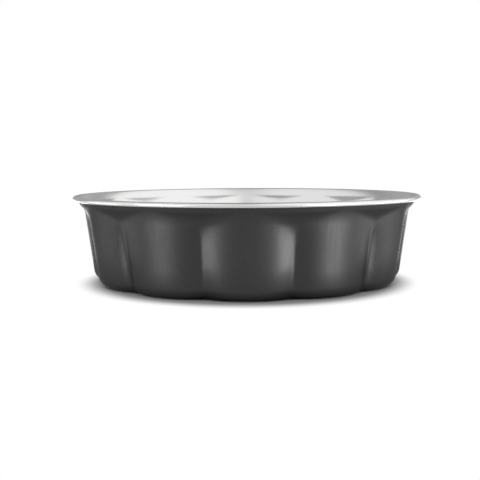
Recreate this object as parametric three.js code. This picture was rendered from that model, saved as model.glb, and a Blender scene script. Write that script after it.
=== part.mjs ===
// A round fluted cake pan: one pressed aluminium shell, coated dark outside, with a wired rim.
// Millimetres, +Z up. The origin is the centre of the face that the pan rests on.
import * as THREE from "three";
import { mergeGeometries } from "three/addons/utils/BufferGeometryUtils.js";

const { degToRad, euclideanModulo, lerp } = THREE.MathUtils;

// Driving dimensions
const rimDiameter = 260; // over the rolled rim
const panHeight = 64; // from the resting face to the top of the rim
const wallLean = degToRad(7.73); // of the wall from upright, along a crest
const rimOverhang = 6; // edge of the rim beyond the line of the wall
const cornerRadius = 8.5; // outside of the bottom corner
const flareRadius = 32; // outside of the bend that leads from the wall to the rim
const sheetThickness = 0.6; // pressed aluminium
const coatThickness = 0.3; // dark coat on the outside
const wireDiameter = 2; // stiffening wire inside the rim
const wireClearance = 0.1; // between the wire and the sheet rolled round it
const curlTurn = degToRad(240); // how far the sheet is rolled round the wire
const fluteCount = 12;
const fluteDepth = 5.6; // from a crest in to a crease
const collarHeight = 6.3; // plain band between the top of the rim and the flutes
const shoulderSlope = 0.55; // how far the shoulder over a crease goes in for each step down
const shoulderHeight = 20; // part of the wall below the collar that the shoulder shapes

// Facets
const fluteFacets = 8; // round the pan, for each flute
const cornerFacets = 3;
const shoulderFacets = 3;
const flareFacets = 5;
const curlFacets = 6;
const wireFacets = 6;

// Sizes that follow. The middle line is halfway through the sheet.
const columns = fluteCount * fluteFacets;
const middleDepth = coatThickness + sheetThickness / 2; // below the coat's outer face
const wireRadius = wireDiameter / 2;
const curlMiddle = wireRadius + wireClearance + sheetThickness / 2;
const curlOutside = curlMiddle + sheetThickness / 2;
const fluteTop = panHeight - collarHeight;

// The wall's outer line at a crest, in an upright half-plane with x as the radius and y as the height.
const wireCentre = new THREE.Vector2(rimDiameter / 2 - curlOutside, panHeight - curlOutside);
const wallHead = new THREE.Vector2(rimDiameter / 2 - rimOverhang, wireCentre.y);
const wallUp = new THREE.Vector2(Math.sin(wallLean), Math.cos(wallLean));
const wallOut = new THREE.Vector2(wallUp.y, -wallUp.x);
const wallFoot = wallHead.clone().addScaledVector(wallUp, -wallHead.y / wallUp.y);

// A point given by its distance along the wall's line and its distance out from it.
function besideWall(along, out) {
  return wallFoot.clone().addScaledVector(wallUp, along).addScaledVector(wallOut, out);
}

// The flare touches the wall's line below and the curl round the wire above.
const flareMiddle = flareRadius + middleDepth;
const wireFromFoot = wireCentre.clone().sub(wallFoot);
const flareDrop = Math.sqrt(
  (flareMiddle - curlMiddle) ** 2 - (flareRadius - wireFromFoot.dot(wallOut)) ** 2,
);
const flareAlong = wireFromFoot.dot(wallUp) - flareDrop; // where the flare leaves the wall's line
const flareCentre = besideWall(flareAlong, flareRadius);
const flareStart = wallOut.clone().negate().angle();
const curlStart = wireCentre.clone().sub(flareCentre).angle();
const bareTurn = wireDiameter / flareMiddle; // the coat stops one wire's width short of the curl

// How far a crease or the side of a flute is pressed in, at a height and an angle from a crest.
// The flutes are equal arcs through their creases. Over each crease a shoulder slopes out to the collar.
// The two are blended, so that the smaller one is followed.
function pressedIn(height, angle) {
  const crest = wallFoot.x;
  const half = Math.PI / fluteCount;
  const crease = new THREE.Vector2(Math.cos(half), Math.sin(half)).multiplyScalar(crest - fluteDepth);
  const arcCentre = (crest ** 2 - crease.lengthSq()) / (2 * (crest - crease.x));
  const arcRadius = crest - arcCentre;
  const turn = euclideanModulo(angle + half, 2 * half) - half;
  const reach = arcCentre * Math.cos(turn) + Math.sqrt(arcRadius ** 2 - (arcCentre * Math.sin(turn)) ** 2);
  const flute = crest - reach;
  const shoulder = shoulderSlope * Math.max(fluteTop - height, 0);
  return shoulder === 0 ? 0 : (flute * shoulder) / Math.hypot(flute, shoulder);
}

// Stops along a bend, each a point on the middle line with the direction of the sheet's outer side,
// which is away from the centre where outer is 1 and towards it where outer is -1.
function bend(centre, radius, from, to, facets, outer) {
  return Array.from({ length: facets + 1 }, (_, i) => {
    const angle = lerp(from, to, i / facets);
    const ray = new THREE.Vector2(Math.cos(angle), Math.sin(angle));
    return { point: centre.clone().addScaledVector(ray, radius), side: ray.multiplyScalar(outer) };
  });
}

// The floor's centre, the bottom corner and the wall up to the flare.
function fluteStops() {
  const cornerAlong = (cornerRadius * (1 + wallOut.y)) / wallUp.y;
  const cornerCentre = besideWall(cornerAlong, -cornerRadius);
  const floor = { point: new THREE.Vector2(0, middleDepth), side: new THREE.Vector2(0, -1) };
  const corner = bend(
    cornerCentre,
    cornerRadius - middleDepth,
    -Math.PI / 2,
    Math.atan2(wallOut.y, wallOut.x),
    cornerFacets,
    1,
  );
  const shoulderAlong = (fluteTop - shoulderHeight) / wallUp.y;
  const shoulder = Array.from({ length: shoulderFacets }, (_, i) => ({
    point: besideWall(lerp(shoulderAlong, flareAlong, i / shoulderFacets), -middleDepth),
    side: wallOut,
  }));
  return [floor, ...corner, ...shoulder];
}

const coatedStops = [
  ...fluteStops(),
  ...bend(flareCentre, flareMiddle, flareStart, curlStart + bareTurn, flareFacets, -1),
];
const curlStops = bend(wireCentre, curlMiddle, curlStart, curlStart - curlTurn, curlFacets, -1);
const sheetStops = [...coatedStops, ...curlStops];

// One face of the sheet or the coat: the stops moved out from the middle line, or in where out is negative.
function face(stops, out) {
  return stops.map(({ point, side }) => ({
    point: point.clone().addScaledVector(side, out),
    height: point.y,
  }));
}

// Carries part of an outline round the axis and presses the flutes into it.
function carryRound(outline) {
  const geometry = new THREE.LatheGeometry(
    outline.map((stop) => stop.point),
    columns,
  );
  const position = geometry.getAttribute("position");
  for (let i = 0; i < position.count; i++) {
    const { point, height } = outline[i % outline.length];
    if (point.x === 0) continue;
    const angle = (2 * Math.PI * Math.floor(i / outline.length)) / columns;
    const radius = point.x - pressedIn(height, angle);
    position.setXYZ(i, radius * Math.sin(angle), point.y, radius * Math.cos(angle));
  }
  return geometry.rotateX(Math.PI / 2);
}

// Turns every facet of a face round.
function turnFacets(geometry) {
  const index = geometry.getIndex();
  for (let i = 0; i < index.count; i += 3) {
    const second = index.getX(i + 1);
    index.setX(i + 1, index.getX(i + 2));
    index.setX(i + 2, second);
  }
  return geometry;
}

// A closed layer between two faces, whose facets lie back to back, with a band round its free edge.
function layer(stops, inner, outer) {
  const outside = face(stops, outer);
  const inside = face(stops, inner);
  const edge = [outside.at(-1), inside.at(-1)];
  return mergeGeometries([carryRound(outside), turnFacets(carryRound(inside)), carryRound(edge)]);
}

// The pressed sheet, from the floor's centre to the cut edge of the curl.
function panShell() {
  return layer(sheetStops, -sheetThickness / 2, sheetThickness / 2);
}

// The coat lies on the sheet's outer face, and the two share their facets.
function outerCoat() {
  return layer(coatedStops, sheetThickness / 2, sheetThickness / 2 + coatThickness);
}

// The wire is a closed ring inside the curl.
function rimWire() {
  const ring = Array.from({ length: wireFacets + 1 }, (_, i) => {
    const angle = curlStart + (2 * Math.PI * (i % wireFacets)) / wireFacets;
    const ray = new THREE.Vector2(Math.cos(angle), Math.sin(angle));
    return wireCentre.clone().addScaledVector(ray, wireRadius);
  });
  return new THREE.LatheGeometry(ring, columns).rotateX(Math.PI / 2);
}

const brightAluminium = new THREE.MeshStandardMaterial({ color: 0xd9d9d7, roughness: 0.3, metalness: 1 });
const darkCoat = new THREE.MeshStandardMaterial({ color: 0x2c2d2f, roughness: 0.42, metalness: 0.2 });
const plainSteel = new THREE.MeshStandardMaterial({ color: 0x9b9b99, roughness: 0.4, metalness: 1 });

function piece(name, geometry, material) {
  const mesh = new THREE.Mesh(geometry, material);
  mesh.name = name;
  return mesh;
}

const cakePan = new THREE.Group();
cakePan.add(piece("pan_shell", panShell(), brightAluminium));
cakePan.add(piece("outer_coat", outerCoat(), darkCoat));
cakePan.add(piece("rim_wire", rimWire(), plainSteel));

export default cakePan;
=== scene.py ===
import math
import bpy
import numpy as np
from mathutils import Matrix, Vector


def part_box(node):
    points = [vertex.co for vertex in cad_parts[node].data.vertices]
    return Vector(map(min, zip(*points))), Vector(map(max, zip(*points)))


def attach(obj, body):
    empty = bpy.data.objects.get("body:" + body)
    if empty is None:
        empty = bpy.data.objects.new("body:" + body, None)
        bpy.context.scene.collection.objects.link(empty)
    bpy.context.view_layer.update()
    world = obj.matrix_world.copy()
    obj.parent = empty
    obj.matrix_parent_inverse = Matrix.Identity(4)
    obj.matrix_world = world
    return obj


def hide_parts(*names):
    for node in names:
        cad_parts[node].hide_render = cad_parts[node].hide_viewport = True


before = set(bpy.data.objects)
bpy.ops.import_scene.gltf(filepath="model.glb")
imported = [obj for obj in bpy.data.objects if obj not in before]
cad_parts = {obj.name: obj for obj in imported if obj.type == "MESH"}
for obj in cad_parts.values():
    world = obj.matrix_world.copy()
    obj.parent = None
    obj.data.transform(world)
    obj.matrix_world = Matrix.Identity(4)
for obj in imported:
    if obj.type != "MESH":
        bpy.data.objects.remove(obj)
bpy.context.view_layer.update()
scene = bpy.context.scene
print("frame loaded:", ", ".join(sorted(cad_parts)))


# the pan's section, in metres. Rim radius and height come from the frame, the rest are the pan's own sizes
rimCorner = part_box("pan_shell")[1]
pan = {
    "rimRadius": rimCorner.x,
    "height": rimCorner.z,
    "wallLean": math.radians(7.73),   # from upright, along a crest
    "rimOverhang": 0.006,             # rim edge beyond the wall's line
    "cornerRadius": 0.0085,           # outside of the bottom corner
    "flareRadius": 0.032,             # outside of the bend up to the rim
    "sheet": 0.0006,
    "coat": 0.0003,
    "wireRadius": 0.0010,
    "wireClearance": 0.0001,
    "curlTurn": math.radians(240),    # how far the sheet rolls round the wire
    "flutes": 12,
    "fluteDepth": 0.0056,             # crest in to crease
    "creaseRounding": 0.0015,         # blend width where two flutes meet
    "collar": 0.0063,                 # top of the rim down to where the flutes begin
    "shoulderSlope": 0.55,            # how far the shoulder goes in for each step down
    "shoulderRounding": 0.0010,       # half the height of the rounding at its top
    "shoulderHeight": 0.020,          # height that gets the finer rows
    "sharpAngle": math.radians(40),   # edges that turn more than this stay sharp
    "columnsPerFlute": 36,
    "creaseCrowding": 0.80,           # 0 is even columns, 1 crowds them at the creases
    "floorRows": 6,
    "cornerRows": 14,
    "wallRows": 10,
    "fadeRows": 26,
    "flareRows": 22,
    "bareRows": 3,                    # between the coat's edge and the curl
    "curlRows": 28,
    "wireSides": 12,
}


# a bend is a circle's centre plus its radius along a ray that turns evenly from one angle to another.
# outer is 1 where the sheet's outer side faces away from the centre, and -1 where it faces the centre
def bend(centre, radius, start, end, rows, outer):
    angle = np.linspace(start, end, rows + 1)
    ray = np.stack([np.cos(angle), np.sin(angle)], axis=1)
    return centre + radius * ray, outer * ray


# a straight run is an even mix of its two ends, with one outer side for all of it
def straight(first, last, side, rows):
    mix = np.linspace(0, 1, rows + 1)[:, None]
    return first + (last - first) * mix, np.repeat(side[None, :], rows + 1, axis=0)


# the middle of the sheet as (radius, height) points: flat floor, corner bend, leaning wall, a flare that
# touches the wall below and the curl above, and the curl round the wire
def panLine(p):
    depth = p["coat"] + p["sheet"] / 2
    curl = p["wireRadius"] + p["wireClearance"] + p["sheet"] / 2
    reach = curl + p["sheet"] / 2
    wire = np.array([p["rimRadius"] - reach, p["height"] - reach])
    up = np.array([math.sin(p["wallLean"]), math.cos(p["wallLean"])])
    out = np.array([up[1], -up[0]])
    head = np.array([p["rimRadius"] - p["rimOverhang"], wire[1]])
    foot = head - up * (head[1] / up[1])
    corner = foot + up * (p["cornerRadius"] * (1 + out[1]) / up[1]) - out * p["cornerRadius"]
    cornerMiddle = p["cornerRadius"] - depth
    flareMiddle = p["flareRadius"] + depth
    drop = math.sqrt((flareMiddle - curl) ** 2 - (p["flareRadius"] - (wire - foot) @ out) ** 2)
    flare = foot + up * ((wire - foot) @ up - drop) + out * p["flareRadius"]
    curlStart = math.atan2(*(wire - flare)[::-1])
    flareStart = math.atan2(-out[1], -out[0]) % (2 * math.pi)
    coatStop = curlStart + 2 * p["wireRadius"] / flareMiddle   # a wire's width short of the curl

    coated = bend(flare, flareMiddle, flareStart, coatStop, p["flareRows"], -1)
    wallTop = coated[0][0]
    top = p["height"] - p["collar"]
    fadeFoot = wallTop + up * ((top - p["shoulderHeight"] - wallTop[1]) / up[1])
    floorEdge = corner - np.array([0, cornerMiddle])
    floor = straight(np.array([0, floorEdge[1]]), floorEdge, np.array([0.0, -1.0]), p["floorRows"])
    turn = bend(corner, cornerMiddle, -math.pi / 2, math.atan2(out[1], out[0]), p["cornerRows"], 1)
    low = straight(turn[0][-1], fadeFoot, out, p["wallRows"])
    fade = straight(fadeFoot, wallTop, out, p["fadeRows"])
    bare = bend(flare, flareMiddle, coatStop, curlStart, p["bareRows"], -1)
    roll = bend(wire, curl, curlStart, curlStart - p["curlTurn"], p["curlRows"], -1)

    runs = [floor, turn, low, fade, coated, bare, roll]
    point = np.concatenate([runs[0][0]] + [r[0][1:] for r in runs[1:]])
    side = np.concatenate([runs[0][1]] + [r[1][1:] for r in runs[1:]])
    return {"point": point, "side": side, "share": np.clip(point[:, 0] / floorEdge[0], 0, 1),
            "coatedRows": len(point) - p["curlRows"] - p["bareRows"],
            "wire": wire, "crest": foot[0], "top": top}


# each flute is a circular arc through its two creases. The pressing is how far the outermost of two
# neighbouring arcs lies inside the crest, blended where they cross. At the flutes' top a shoulder takes
# over: it leaves the collar in a short rounding and goes in at an even slope. The two are joined by
# their product over the root of the sum of their squares, which follows the smaller one
def pressedIn(p, line, height, angle):
    crest, half = line["crest"], math.pi / p["flutes"]
    creaseX, creaseY = (crest - p["fluteDepth"]) * np.array([math.cos(half), math.sin(half)])
    centre = (crest ** 2 - creaseX ** 2 - creaseY ** 2) / (2 * (crest - creaseX))
    arc = crest - centre
    turn = np.abs((angle + half) % (2 * half) - half)
    ownArc, nextArc = [crest - centre * np.cos(a) - np.sqrt(arc ** 2 - (centre * np.sin(a)) ** 2)
                       for a in (turn, 2 * half - turn)]
    blend = p["creaseRounding"]
    overlap = np.maximum(blend - np.abs(ownArc - nextArc), 0) / blend
    flute = np.minimum(ownArc, nextArc) - blend * overlap ** 2 / 4
    below, soft = line["top"] - height, p["shoulderRounding"]
    started = np.where(below > soft, below, np.clip(below + soft, 0, 2 * soft) ** 2 / (4 * soft))
    least = 1e-9
    flute = np.maximum(flute, least)[None, :]
    shoulder = np.maximum(p["shoulderSlope"] * started, least)[:, None]
    return flute * shoulder / np.hypot(flute, shoulder)


# angles from a crest, crowded at the creases: within a flute the angle is a mix of an even step and a sine
def fluteAngles(p):
    step = np.linspace(-1, 1, p["columnsPerFlute"], endpoint=False)
    crowd = p["creaseCrowding"]
    within = (1 - crowd) * step + crowd * np.sin(step * math.pi / 2)
    half = math.pi / p["flutes"]
    return (np.arange(p["flutes"])[:, None] * 2 * half + within[None, :] * half).ravel()


# radius and height carried round the axis by an angle. Angle 0 is a crest on -Y
def carryRound(radius, height, angle):
    return np.stack([radius * np.sin(angle), -radius * np.cos(angle), height], axis=2)


# one face: every point of the line moved out along its side, pressed in, and carried round the axis
def faceGrid(p, line, rows, out, angle):
    place = line["point"][:rows] + line["side"][:rows] * out
    press = pressedIn(p, line, line["point"][:rows, 1], angle) * line["share"][:rows, None]
    radius = place[:, :1] - press
    return carryRound(radius, np.broadcast_to(place[:, 1:], radius.shape), angle)


# quads between neighbouring rows and columns of a grid whose columns close on themselves
def gridQuads(rows, columns, start):
    index = start + np.arange(rows * columns).reshape(rows, columns)
    after = np.roll(index, -1, axis=1)
    return np.stack([index[:-1], after[:-1], after[1:], index[1:]], axis=2).reshape(-1, 4)


# the finishes use two values of each point: its distance along the section, and how far the press rubbed it
def newPiece(name, points, faces, along, rubbed, material):
    mesh = bpy.data.meshes.new(name)
    mesh.from_pydata(points.tolist(), [], faces)
    for label, values in (("along", along), ("rubbed", rubbed)):
        mesh.attributes.new(label, "FLOAT", "POINT").data.foreach_set("value", values.astype(np.float32))
    mesh.polygons.foreach_set("use_smooth", np.ones(len(mesh.polygons), bool))
    mesh.set_sharp_from_angle(angle=pan["sharpAngle"])
    mesh.materials.append(material)
    mesh.update()
    piece = bpy.data.objects.new(name, mesh)
    scene.collection.objects.link(piece)
    return piece


# a closed layer of the pan: outer and inner face back to back, each fanned in to a point on the axis,
# and a band of quads round the free edge. The press rubs the creases of the wall, by their depth
def layerPiece(name, p, line, rows, inner, outer, material):
    angle = fluteAngles(p)
    columns = len(angle)
    outside = faceGrid(p, line, rows, outer, angle)
    inside = faceGrid(p, line, rows, inner, angle)
    points = np.concatenate([outside[1:].reshape(-1, 3), inside[1:].reshape(-1, 3),
                             outside[0, :1], inside[0, :1]])
    ring = np.arange(columns)
    after = np.roll(ring, -1)
    count = (rows - 1) * columns
    outQuads = gridQuads(rows - 1, columns, 0)
    inQuads = gridQuads(rows - 1, columns, count)[:, ::-1]
    lastOut, lastIn = count - columns, 2 * count - columns
    band = np.stack([lastOut + ring, lastOut + after, lastIn + after, lastIn + ring], axis=1)
    outFan = np.stack([after, ring, np.full(columns, 2 * count)], axis=1)
    inFan = np.stack([count + ring, count + after, np.full(columns, 2 * count + 1)], axis=1)
    faces = np.concatenate([outQuads, inQuads, band]).tolist() + np.concatenate([outFan, inFan]).tolist()
    steps = np.linalg.norm(np.diff(line["point"][:rows], axis=0), axis=1)
    along = np.concatenate([np.tile(np.repeat(np.cumsum(steps), columns), 2), [0, 0]])
    upright = np.clip(line["side"][1:rows, :1], 0, 1)
    creased = upright * pressedIn(p, line, line["point"][1:rows, 1], angle) / p["fluteDepth"]
    rubbed = np.concatenate([np.tile(creased.ravel(), 2), [0, 0]])
    return newPiece(name, points, faces, along, rubbed, material)


# a ring of round wire: a circle of the wire's radius about its centre line, carried round the axis
def wirePiece(name, p, line, material):
    angle = fluteAngles(p)
    sides = p["wireSides"]
    around = np.linspace(0, 2 * math.pi, sides, endpoint=False)
    radius = (line["wire"][0] + p["wireRadius"] * np.cos(around))[:, None]
    height = np.repeat((line["wire"][1] + p["wireRadius"] * np.sin(around))[:, None], len(angle), axis=1)
    points = carryRound(radius, height, angle)
    quads = gridQuads(sides + 1, len(angle), 0) % (sides * len(angle))
    along = np.repeat(np.sin(around) * p["wireRadius"], len(angle))
    return newPiece(name, points.reshape(-1, 3), quads.tolist(), along, 0 * along, material)


# node helpers
def nodeMaterial(name):
    material = bpy.data.materials.new(name)
    material.use_nodes = True
    nodes = material.node_tree.nodes
    return material, nodes, material.node_tree.links, nodes["Principled BSDF"]


def newGroup(name, inputs, outputs):
    group = bpy.data.node_groups.new(name, "ShaderNodeTree")
    for label, kind in inputs:
        group.interface.new_socket(label, in_out="INPUT", socket_type=kind)
    for label in outputs:
        group.interface.new_socket(label, in_out="OUTPUT", socket_type="NodeSocketFloat")
    nodes = group.nodes
    return group, nodes, group.links, nodes.new("NodeGroupInput"), nodes.new("NodeGroupOutput")


def mathNode(nodes, links, operation, first, second=None):
    node = nodes.new("ShaderNodeMath")
    node.operation = operation
    links.new(first, node.inputs[0])
    if isinstance(second, (int, float)):
        node.inputs[1].default_value = second
    elif second is not None:
        links.new(second, node.inputs[1])
    return node.outputs[0]


def noiseNode(nodes, links, vector, scale, detail):
    node = nodes.new("ShaderNodeTexNoise")
    node.inputs["Scale"].default_value = scale
    node.inputs["Detail"].default_value = detail
    links.new(vector, node.inputs["Vector"])
    return node.outputs["Fac"]


def rangeNode(nodes, links, value, start, end, shape="LINEAR"):
    node = nodes.new("ShaderNodeMapRange")
    node.interpolation_type = shape
    for label, number in zip(("From Min", "From Max", "To Min", "To Max"), (*start, *end)):
        node.inputs[label].default_value = number
    links.new(value, node.inputs["Value"])
    return node.outputs["Result"]


def splitNode(nodes, links, vector):
    node = nodes.new("ShaderNodeSeparateXYZ")
    links.new(vector, node.inputs[0])
    return node.outputs


# finishes. Scales are changes per metre, and noise lies mostly within the two spreads
finish = {
    "roundScale": 14,         # of drawn lines, round the pan
    "streakScale": 420,       # of streaks, round the pan
    "streakStretch": 0.05,    # their height counts this much, so they run down the wall
    "patchScale": 26,
    "noiseSpread": (0.3, 0.7),
    "patchSpread": (0.35, 0.65),
}


# lines left by drawing the metal: noise that changes fast along the section and slowly round the pan.
# Streaks are the other way about: they change fast round the pan and slowly with height
def drawnLinesGroup():
    group, nodes, links, given, out = newGroup(
        "drawnLines",
        [("Along", "NodeSocketFloat"), ("Position", "NodeSocketVector"), ("Density", "NodeSocketFloat")],
        ["Lines", "Streaks"])
    position = given.outputs["Position"]
    place = splitNode(nodes, links, position)
    joined = nodes.new("ShaderNodeCombineXYZ")
    dense = mathNode(nodes, links, "MULTIPLY", given.outputs["Along"], given.outputs["Density"])
    links.new(dense, joined.inputs["X"])
    links.new(mathNode(nodes, links, "MULTIPLY", place["X"], finish["roundScale"]), joined.inputs["Y"])
    links.new(mathNode(nodes, links, "MULTIPLY", place["Y"], finish["roundScale"]), joined.inputs["Z"])
    links.new(noiseNode(nodes, links, joined.outputs[0], scale=1, detail=2), out.inputs["Lines"])
    stretched = nodes.new("ShaderNodeVectorMath")
    stretched.operation = "MULTIPLY"
    stretched.inputs[1].default_value = (1, 1, finish["streakStretch"])
    links.new(position, stretched.inputs[0])
    streaks = noiseNode(nodes, links, stretched.outputs[0], finish["streakScale"], detail=1)
    links.new(streaks, out.inputs["Streaks"])
    return group


# handling leaves broad patches, and every surface has a fine speckle
def surfaceGroup():
    group, nodes, links, given, out = newGroup(
        "surface", [("Position", "NodeSocketVector"), ("Grain", "NodeSocketFloat")], ["Patches", "Speckle"])
    position = given.outputs["Position"]
    links.new(noiseNode(nodes, links, position, finish["patchScale"], detail=3), out.inputs["Patches"])
    fine = nodes.new("ShaderNodeVectorMath")
    fine.operation = "SCALE"
    links.new(position, fine.inputs[0])
    links.new(given.outputs["Grain"], fine.inputs["Scale"])
    links.new(noiseNode(nodes, links, fine.outputs[0], scale=1, detail=1), out.inputs["Speckle"])
    return group


drawnLines = drawnLinesGroup()
surface = surfaceGroup()


# puts both groups into a material and gives their outputs by name
def finishOutputs(nodes, links, values):
    coords = nodes.new("ShaderNodeTexCoord")
    along = nodes.new("ShaderNodeAttribute")
    along.attribute_name = "along"
    lines = nodes.new("ShaderNodeGroup")
    lines.node_tree = drawnLines
    links.new(along.outputs["Fac"], lines.inputs["Along"])
    links.new(coords.outputs["Object"], lines.inputs["Position"])
    lines.inputs["Density"].default_value = values["density"]
    skin = nodes.new("ShaderNodeGroup")
    skin.node_tree = surface
    links.new(coords.outputs["Object"], skin.inputs["Position"])
    skin.inputs["Grain"].default_value = values["grain"]
    return {socket.name: socket for node in (lines, skin) for socket in node.outputs}


# the base colour is a mix of a dark and a light one
def tint(nodes, links, factor, values, shader):
    mix = nodes.new("ShaderNodeMix")
    mix.data_type = "RGBA"
    ends = [socket for socket in mix.inputs if socket.type == "RGBA"]
    ends[0].default_value = (*values["dark"], 1)
    ends[1].default_value = (*values["light"], 1)
    links.new(factor, mix.inputs["Factor"])
    links.new([socket for socket in mix.outputs if socket.type == "RGBA"][0], shader.inputs["Base Color"])


def relief(nodes, links, height, values, shader):
    bump = nodes.new("ShaderNodeBump")
    bump.inputs["Strength"].default_value = values["relief"]
    bump.inputs["Distance"].default_value = values["reliefHeight"]
    links.new(height, bump.inputs["Height"])
    links.new(bump.outputs["Normal"], shader.inputs["Normal"])


aluminium = {
    "density": 1500,
    "grain": 3000,
    "roughness": (0.23, 0.29),       # over the patches
    "lineRoughness": (-0.03, 0.03),  # added by the lines
    "dark": (0.85, 0.85, 0.845),
    "light": (0.90, 0.90, 0.895),
    "relief": 0.12,
    "reliefHeight": 0.000008,
}


# bright drawn aluminium: satin, with fine lines round the pan and faint handling patches
def brightAluminium():
    material, nodes, links, shader = nodeMaterial("brightAluminium")
    marks = finishOutputs(nodes, links, aluminium)
    shader.inputs["Metallic"].default_value = 1
    patches = rangeNode(nodes, links, marks["Patches"], finish["patchSpread"], aluminium["roughness"])
    lines = rangeNode(nodes, links, marks["Lines"], finish["noiseSpread"], aluminium["lineRoughness"])
    links.new(mathNode(nodes, links, "ADD", patches, lines), shader.inputs["Roughness"])
    tint(nodes, links, marks["Lines"], aluminium, shader)
    relief(nodes, links, marks["Lines"], aluminium, shader)
    return material


charcoal = {
    "density": 900,
    "grain": 2200,
    "rubbedSpread": (0.05, 0.6),
    "roughness": (0.46, 0.31),           # from unrubbed to rubbed
    "streakRoughness": (-0.025, 0.025),  # added by the streaks
    "glancing": (0.6, 0.6, 0.6),         # less gloss at a glancing angle
    "dark": (0.046, 0.046, 0.046),
    "light": (0.081, 0.081, 0.081),
    "relief": 0.5,
    "reliefHeight": 0.00002,
}


# dark baked coat: satin charcoal with a metallic lustre and a fine peel, smoother in the rubbed creases,
# and with faint streaks down the wall
def darkCoat():
    material, nodes, links, shader = nodeMaterial("darkCoat")
    marks = finishOutputs(nodes, links, charcoal)
    shader.inputs["Metallic"].default_value = 1
    shader.inputs["Specular Tint"].default_value = (*charcoal["glancing"], 1)
    rubbed = nodes.new("ShaderNodeAttribute")
    rubbed.attribute_name = "rubbed"
    gloss = rangeNode(nodes, links, rubbed.outputs["Fac"], charcoal["rubbedSpread"], charcoal["roughness"])
    streaks = rangeNode(nodes, links, marks["Streaks"], finish["noiseSpread"], charcoal["streakRoughness"])
    links.new(mathNode(nodes, links, "ADD", gloss, streaks), shader.inputs["Roughness"])
    tint(nodes, links, marks["Speckle"], charcoal, shader)
    relief(nodes, links, marks["Speckle"], charcoal, shader)
    return material


steel = {
    "density": 9000,
    "grain": 3000,
    "roughness": (0.30, 0.42),
    "dark": (0.46, 0.46, 0.45),
    "light": (0.54, 0.54, 0.53),
}


# drawn steel wire: lines run along it
def rimSteel():
    material, nodes, links, shader = nodeMaterial("rimSteel")
    marks = finishOutputs(nodes, links, steel)
    shader.inputs["Metallic"].default_value = 1
    lines = rangeNode(nodes, links, marks["Lines"], finish["noiseSpread"], steel["roughness"])
    links.new(lines, shader.inputs["Roughness"])
    tint(nodes, links, marks["Patches"], steel, shader)
    return material


line = panLine(pan)
allRows = len(line["point"])
halfSheet = pan["sheet"] / 2
coatFace = halfSheet + pan["coat"]
sheetPiece = layerPiece("pressed_sheet", pan, line, allRows, -halfSheet, halfSheet, brightAluminium())
coatPiece = layerPiece("baked_coat", pan, line, line["coatedRows"], halfSheet, coatFace, darkCoat())
wireRing = wirePiece("wire_ring", pan, line, rimSteel())
for piece, node, slot in ((sheetPiece, "pan_shell", "bright_aluminium"),
                          (coatPiece, "outer_coat", "dark_coat"),
                          (wireRing, "rim_wire", "rim_steel")):
    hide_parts(node)
    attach(piece, "root")
    print("piece", piece.name, len(piece.data.polygons), "faces")


# floor and studio light. Levels are stops of (place, level), where a direction's -1 to 1 is 0 to 1
studio = {
    "floorRadius": 0.170,        # its edge keeps the low lamps off the foot of the wall
    "floorSides": 96,
    "floorHeight": -0.0001,      # just under the pan, so that the two faces stay apart
    # painted shade: the board is grey where it has not faded to white, which darkens the floor round the
    # pan's foot on top of its real shadow
    "paintedShadeFloorGrey": (0.44, 0.44, 0.44),
    "shadowCentre": (0, -0.010, 0),
    "shadow": (0.106, 0.128),    # from its centre, where the floor's shading fades to plain white
    "paleNearer": 0.009,         # for gloss the plain white begins this much nearer to the pan
    "fill": 1.0,                 # even light from all round
    "table": 0.62,               # what gloss sees below the horizon
    "horizon": (-0.12, 0.0),     # heights between which the table gives way to the room
    "across": ((0.0, 0.86), (0.36, 0.86), (0.49, 0.65), (0.64, 1.0), (1.0, 1.0)),
    "turn": math.radians(-7),    # of the front and back levels round the pan
    "lift": 0.35,                # how much a steep direction counts as further back
    "ahead": ((0.0, 1.0), (0.395, 1.0), (0.505, 0.34), (0.635, 0.36), (0.715, 0.45), (1.0, 0.45)),
}


# the floor is a round board. Near the pan it is a grey surface that is lit and shaded, so it keeps the real
# shadow, and its grey is painted shade that deepens that shadow. Further out it fades to plain white. Gloss
# sees that white as the table's level
def floorBoard():
    around = np.linspace(0, 2 * math.pi, studio["floorSides"], endpoint=False)
    edge = studio["floorRadius"] * np.stack([np.cos(around), np.sin(around)], axis=1)
    points = np.column_stack([edge, np.full(len(edge), studio["floorHeight"])])
    mesh = bpy.data.meshes.new("floor")
    mesh.from_pydata(points.tolist(), [], [list(range(len(points)))])
    material, nodes, links, shader = nodeMaterial("paleFloor")
    shader.inputs["Base Color"].default_value = (*studio["paintedShadeFloorGrey"], 1)
    shader.inputs["Roughness"].default_value = 1
    shader.inputs["Specular IOR Level"].default_value = 0
    coords = nodes.new("ShaderNodeTexCoord")
    away = nodes.new("ShaderNodeVectorMath")
    away.operation = "DISTANCE"
    away.inputs[1].default_value = studio["shadowCentre"]
    links.new(coords.outputs["Object"], away.inputs[0])
    path = nodes.new("ShaderNodeLightPath")
    glossy = path.outputs["Is Glossy Ray"]
    nearer = mathNode(nodes, links, "MULTIPLY", glossy, studio["paleNearer"])
    reached = mathNode(nodes, links, "ADD", away.outputs["Value"], nearer)
    fade = rangeNode(nodes, links, reached, studio["shadow"], (0, 1), "SMOOTHSTEP")
    seen = mathNode(nodes, links, "MAXIMUM", path.outputs["Is Camera Ray"], glossy)
    seen = mathNode(nodes, links, "MAXIMUM", seen, path.outputs["Is Transmission Ray"])
    white = nodes.new("ShaderNodeEmission")
    darker = mathNode(nodes, links, "MULTIPLY", glossy, studio["table"] - 1)
    links.new(mathNode(nodes, links, "ADD", darker, 1), white.inputs["Strength"])
    mixed = nodes.new("ShaderNodeMixShader")
    links.new(mathNode(nodes, links, "MULTIPLY", fade, seen), mixed.inputs[0])
    links.new(shader.outputs[0], mixed.inputs[1])
    links.new(white.outputs[0], mixed.inputs[2])
    links.new(mixed.outputs[0], nodes["Material Output"].inputs["Surface"])
    mesh.materials.append(material)
    board = bpy.data.objects.new("floor", mesh)
    scene.collection.objects.link(board)


floorBoard()


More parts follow.
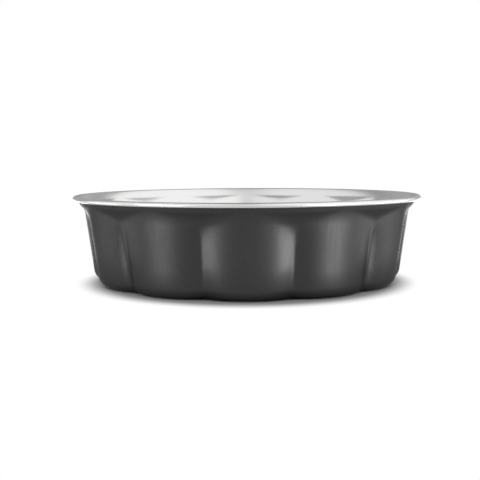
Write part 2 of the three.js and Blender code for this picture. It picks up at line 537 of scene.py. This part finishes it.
# a smooth curve through stops of (place, level)
def levelRamp(nodes, links, direction, levels):
    ramp = nodes.new("ShaderNodeValToRGB")
    ramp.color_ramp.interpolation = "EASE"
    stops = ramp.color_ramp.elements
    for place, _ in levels[1:-1]:
        stops.new(place)
    for stop, (place, level) in zip(stops, levels):
        stop.position = place
        stop.color = (level, level, level, 1)
    links.new(rangeNode(nodes, links, direction, (-1, 1), (0, 1)), ramp.inputs["Fac"])
    return ramp.outputs["Color"]


# the world is white where it is seen, and its soft light is even. Gloss sees a studio instead: a level from
# left to right times one from front to back, and a pale table below the horizon. The front to back place
# is the turned direction's Y, less its X of either sign, plus a share of its height
def studioWorld():
    world = bpy.data.worlds.new("studio")
    scene.world = world
    world.use_nodes = True
    nodes, links = world.node_tree.nodes, world.node_tree.links
    direction = nodes.new("ShaderNodeTexCoord").outputs["Generated"]
    plain = splitNode(nodes, links, direction)
    turned = nodes.new("ShaderNodeVectorRotate")
    turned.rotation_type = "Z_AXIS"
    turned.inputs["Angle"].default_value = studio["turn"]
    links.new(direction, turned.inputs["Vector"])
    place = splitNode(nodes, links, turned.outputs[0])
    aside = mathNode(nodes, links, "ABSOLUTE", place["X"])
    steep = mathNode(nodes, links, "MULTIPLY", place["Z"], studio["lift"])
    back = mathNode(nodes, links, "ADD", mathNode(nodes, links, "SUBTRACT", place["Y"], aside), steep)
    across = levelRamp(nodes, links, plain["X"], studio["across"])
    level = mathNode(nodes, links, "MULTIPLY", across, levelRamp(nodes, links, back, studio["ahead"]))
    seen = nodes.new("ShaderNodeMix")
    seen.inputs["A"].default_value = studio["table"]
    horizon = rangeNode(nodes, links, plain["Z"], studio["horizon"], (0, 1), "SMOOTHSTEP")
    links.new(horizon, seen.inputs["Factor"])
    links.new(level, seen.inputs["B"])
    path = nodes.new("ShaderNodeLightPath")
    strength = nodes.new("ShaderNodeMix")
    strength.inputs["A"].default_value = studio["fill"]
    links.new(path.outputs["Is Glossy Ray"], strength.inputs["Factor"])
    links.new(seen.outputs["Result"], strength.inputs["B"])
    nodes["Background"].inputs["Color"].default_value = (1, 1, 1, 1)
    links.new(strength.outputs["Result"], nodes["Background"].inputs["Strength"])


studioWorld()


# each lamp stands on both sides. Angles are in degrees, round from the front and up from the floor's level,
# and bright is its brightness on the right and on the left
lamps = (
    {"name": "box", "azimuth": 51, "elevation": -7, "distance": 0.66,
     "width": 0.27, "height": 0.17, "bright": (10.4, 5.9)},
    {"name": "boxBeside", "azimuth": 98, "elevation": -10, "distance": 0.62,
     "width": 0.36, "height": 0.25, "bright": (1.7, 0.9)},
    {"name": "boxBehind", "azimuth": 155, "elevation": -7, "distance": 0.66,
     "width": 0.30, "height": 0.16, "bright": (3.2, 3.2)},
)


# a light box that faces the pan: its power is its brightness times pi times its area
def lightBox(lamp, side, bright):
    a, e = math.radians(lamp["azimuth"] * side), math.radians(lamp["elevation"])
    toward = Vector((math.sin(a) * math.cos(e), -math.cos(a) * math.cos(e), math.sin(e)))
    light = bpy.data.lights.new(lamp["name"], "AREA")
    light.shape = "RECTANGLE"
    light.size, light.size_y = lamp["width"], lamp["height"]
    light.energy = bright * math.pi * lamp["width"] * lamp["height"]
    box = bpy.data.objects.new(lamp["name"], light)
    box.location = toward * lamp["distance"]
    box.rotation_euler = (-toward).to_track_quat("-Z", "Y").to_euler()
    box.visible_camera = False
    scene.collection.objects.link(box)


for hand, side in enumerate((1, -1)):
    for lamp in lamps:
        lightBox(lamp, side, lamp["bright"][hand])
print("studio lit")


# the camera stands in front of the pan and a little above it. Lengths are in metres and angles in radians
view = {
    "distance": 0.6246,
    "height": 0.0902,
    "aside": -0.0051,
    "tiltDown": 0.0982,
    "roll": -0.0048,
    "focalPixels": 818.4,
    "pictureWidth": 480,
    "sensor": 36.0,        # millimetres
}
cameraData = bpy.data.cameras.new("camera")
cameraData.sensor_width = view["sensor"]
cameraData.lens = view["focalPixels"] / view["pictureWidth"] * view["sensor"]
camera = bpy.data.objects.new("camera", cameraData)
aim = Matrix.Rotation(math.pi / 2 - view["tiltDown"], 4, "X") @ Matrix.Rotation(view["roll"], 4, "Z")
camera.matrix_world = Matrix.Translation((view["aside"], -view["distance"], view["height"])) @ aim
scene.collection.objects.link(camera)
scene.camera = camera
scene.view_settings.view_transform = "Standard"
